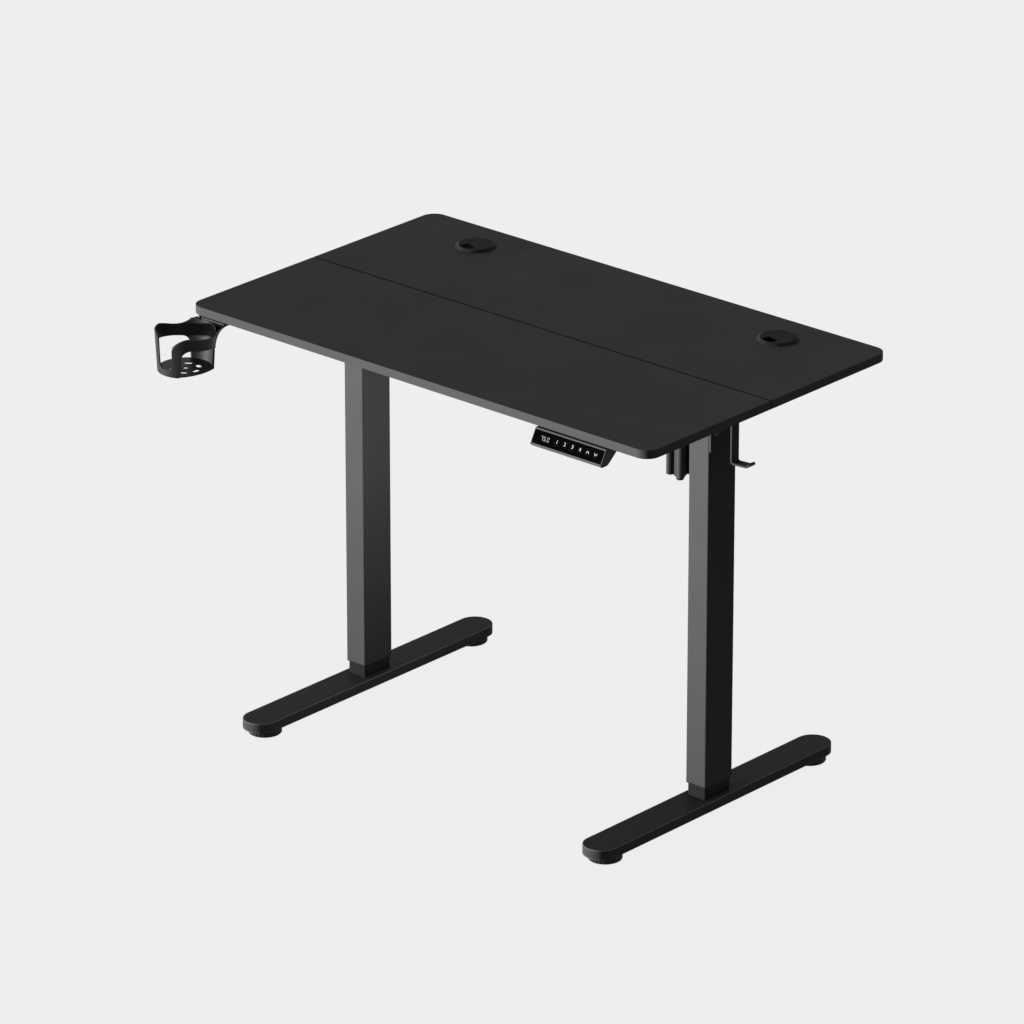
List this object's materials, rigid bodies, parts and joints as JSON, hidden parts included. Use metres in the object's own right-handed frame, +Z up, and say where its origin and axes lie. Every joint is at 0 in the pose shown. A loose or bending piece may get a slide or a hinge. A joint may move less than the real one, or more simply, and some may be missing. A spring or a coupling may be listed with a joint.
{
  "type": "height adjustable standing desk",
  "caption": "Standing desk with a dark tabletop on telescopic column legs, lifted by a motor, shaft and lead screws, with handset, cup holder, hook and cable grommets.",
  "frame": {"origin": "on the floor under the middle of the whole desk's box, columns fully lowered", "axes": "+X to the user's right along the desk's width, +Y away from the user, +Z up"},
  "size_m": [1.0104, 0.6996, 0.754],
  "materials": {
    "board": "matte charcoal laminate",
    "dowel_wood": "plain beech",
    "black_steel": "satin black powder coat",
    "inner_steel": "satin black paint",
    "hook_steel": "satin black powder coat",
    "pad_plastic": "moulded black",
    "glide_plastic": "moulded black",
    "nut_plastic": "natural acetal",
    "cast_alloy": "die cast",
    "bright_steel": "turned",
    "gear_steel": "cut and oiled",
    "fastener_steel": "black oxide",
    "grommet_plastic": "moulded black",
    "gearbox_alloy": "black painted casting",
    "motor_case": "satin black",
    "box_plastic": "textured black",
    "circuit": "green lacquer",
    "handset_plastic": "fine textured grey black",
    "panel_gloss": "polished black",
    "display": "smoked",
    "key_gloss": "polished black",
    "cup_plastic": "fine textured black"
  },
  "bodies": {
    "left_base": {"left_foot": "black_steel", "left_foot_bolts": "fastener_steel", "left_inner_tube": "inner_steel", "left_upper_glide": "glide_plastic", "left_lead_nut": "nut_plastic"},
    "right_base": {"right_foot": "black_steel", "right_foot_bolts": "fastener_steel", "right_inner_tube": "inner_steel", "right_upper_glide": "glide_plastic", "right_lead_nut": "nut_plastic"},
    "left_screw": {"left_lead_screw": "bright_steel", "left_screw_gear": "gear_steel"},
    "right_screw": {"right_lead_screw": "bright_steel", "right_screw_gear": "gear_steel"},
    "shaft": {"drive_shaft": "bright_steel", "output_hub": "bright_steel", "left_shaft_gear": "gear_steel", "right_shaft_gear": "gear_steel"},
    "left_front_pad": {"left_front_leveller": "pad_plastic"},
    "left_rear_pad": {"left_rear_leveller": "pad_plastic"},
    "left_cap": {"left_grommet_cap": "grommet_plastic"},
    "right_front_pad": {"right_front_leveller": "pad_plastic"},
    "right_rear_pad": {"right_rear_leveller": "pad_plastic"},
    "right_cap": {"right_grommet_cap": "grommet_plastic"},
    "key_one": {"key_one": "key_gloss"},
    "key_two": {"key_two": "key_gloss"},
    "key_three": {"key_three": "key_gloss"},
    "key_four": {"key_four": "key_gloss"},
    "key_up": {"key_up": "key_gloss"},
    "key_down": {"key_down": "key_gloss"},
    "upper_frame": {"front_board": "board", "rear_board": "board", "seam_dowels": "dowel_wood", "left_outer_tube": "black_steel", "left_side_bracket": "black_steel", "left_lower_glide": "glide_plastic", "left_gear_head": "cast_alloy", "left_screw_bearing": "bright_steel", "left_grommet_ring": "grommet_plastic", "right_outer_tube": "black_steel", "right_side_bracket": "black_steel", "right_lower_glide": "glide_plastic", "right_gear_head": "cast_alloy", "right_screw_bearing": "bright_steel", "right_grommet_ring": "grommet_plastic", "front_rail": "black_steel", "rear_rail": "black_steel", "hook": "hook_steel", "tabletop_screws": "fastener_steel", "accessory_screws": "fastener_steel", "frame_bolts": "fastener_steel", "gearbox": "gearbox_alloy", "motor": "motor_case", "control_box_base": "box_plastic", "control_box_cover": "box_plastic", "control_circuit": "circuit", "handset_housing": "handset_plastic", "handset_panel": "panel_gloss", "handset_display": "display", "cup_holder": "cup_plastic"}
  },
  "joints": [
    {"name": "lift", "type": "slide", "parent": "left_base", "child": "upper_frame", "axis": [0, 0, 1], "range_m": [0, 0.46]},
    {"name": "right_leg", "type": "slide", "parent": "upper_frame", "child": "right_base", "axis": [0, 0, -1], "range_m": [0, 0.46]},
    {"name": "left_screw_turn", "type": "hinge", "parent": "upper_frame", "child": "left_screw", "pos_m": [-0.37383, 0.04978, 0.698], "axis": [0, 0, 1], "range_deg": [0, 27601]},
    {"name": "right_screw_turn", "type": "hinge", "parent": "upper_frame", "child": "right_screw", "pos_m": [0.38417, 0.04978, 0.698], "axis": [0, 0, 1], "range_deg": [-27601, 0]},
    {"name": "shaft_turn", "type": "hinge", "parent": "upper_frame", "child": "shaft", "pos_m": [0.00517, 0.04978, 0.698], "axis": [1, 0, 0], "range_deg": [0, 27601]},
    {"name": "left_front_levelling", "type": "slide", "parent": "left_base", "child": "left_front_pad", "axis": [0, 0, -1], "range_m": [0, 0.008]},
    {"name": "left_rear_levelling", "type": "slide", "parent": "left_base", "child": "left_rear_pad", "axis": [0, 0, -1], "range_m": [0, 0.008]},
    {"name": "left_cap_turn", "type": "hinge", "parent": "upper_frame", "child": "left_cap", "pos_m": [-0.32583, 0.27028, 0.75], "axis": [0, 0, 1], "continuous": true},
    {"name": "right_front_levelling", "type": "slide", "parent": "right_base", "child": "right_front_pad", "axis": [0, 0, -1], "range_m": [0, 0.008]},
    {"name": "right_rear_levelling", "type": "slide", "parent": "right_base", "child": "right_rear_pad", "axis": [0, 0, -1], "range_m": [0, 0.008]},
    {"name": "right_cap_turn", "type": "hinge", "parent": "upper_frame", "child": "right_cap", "pos_m": [0.33617, 0.27028, 0.75], "axis": [0, 0, 1], "continuous": true},
    {"name": "key_one_press", "type": "slide", "parent": "upper_frame", "child": "key_one", "axis": [0, 0.8758, -0.4826], "range_m": [0, 0.0008], "stiffness_N_per_m": 1200, "springref_m": -0.0006},
    {"name": "key_two_press", "type": "slide", "parent": "upper_frame", "child": "key_two", "axis": [0, 0.8758, -0.4826], "range_m": [0, 0.0008], "stiffness_N_per_m": 1200, "springref_m": -0.0006},
    {"name": "key_three_press", "type": "slide", "parent": "upper_frame", "child": "key_three", "axis": [0, 0.8758, -0.4826], "range_m": [0, 0.0008], "stiffness_N_per_m": 1200, "springref_m": -0.0006},
    {"name": "key_four_press", "type": "slide", "parent": "upper_frame", "child": "key_four", "axis": [0, 0.8758, -0.4826], "range_m": [0, 0.0008], "stiffness_N_per_m": 1200, "springref_m": -0.0006},
    {"name": "key_up_press", "type": "slide", "parent": "upper_frame", "child": "key_up", "axis": [0, 0.8758, -0.4826], "range_m": [0, 0.0008], "stiffness_N_per_m": 1200, "springref_m": -0.0006},
    {"name": "key_down_press", "type": "slide", "parent": "upper_frame", "child": "key_down", "axis": [0, 0.8758, -0.4826], "range_m": [0, 0.0008], "stiffness_N_per_m": 1200, "springref_m": -0.0006}
  ],
  "couplings": [
    {"joint": "right_leg", "follows": "lift", "ratio": 1},
    {"joint": "left_screw_turn", "follows": "lift", "rad_per_m": 1047.2},
    {"joint": "right_screw_turn", "follows": "lift", "rad_per_m": -1047.2},
    {"joint": "shaft_turn", "follows": "lift", "rad_per_m": 1047.2}
  ]
}
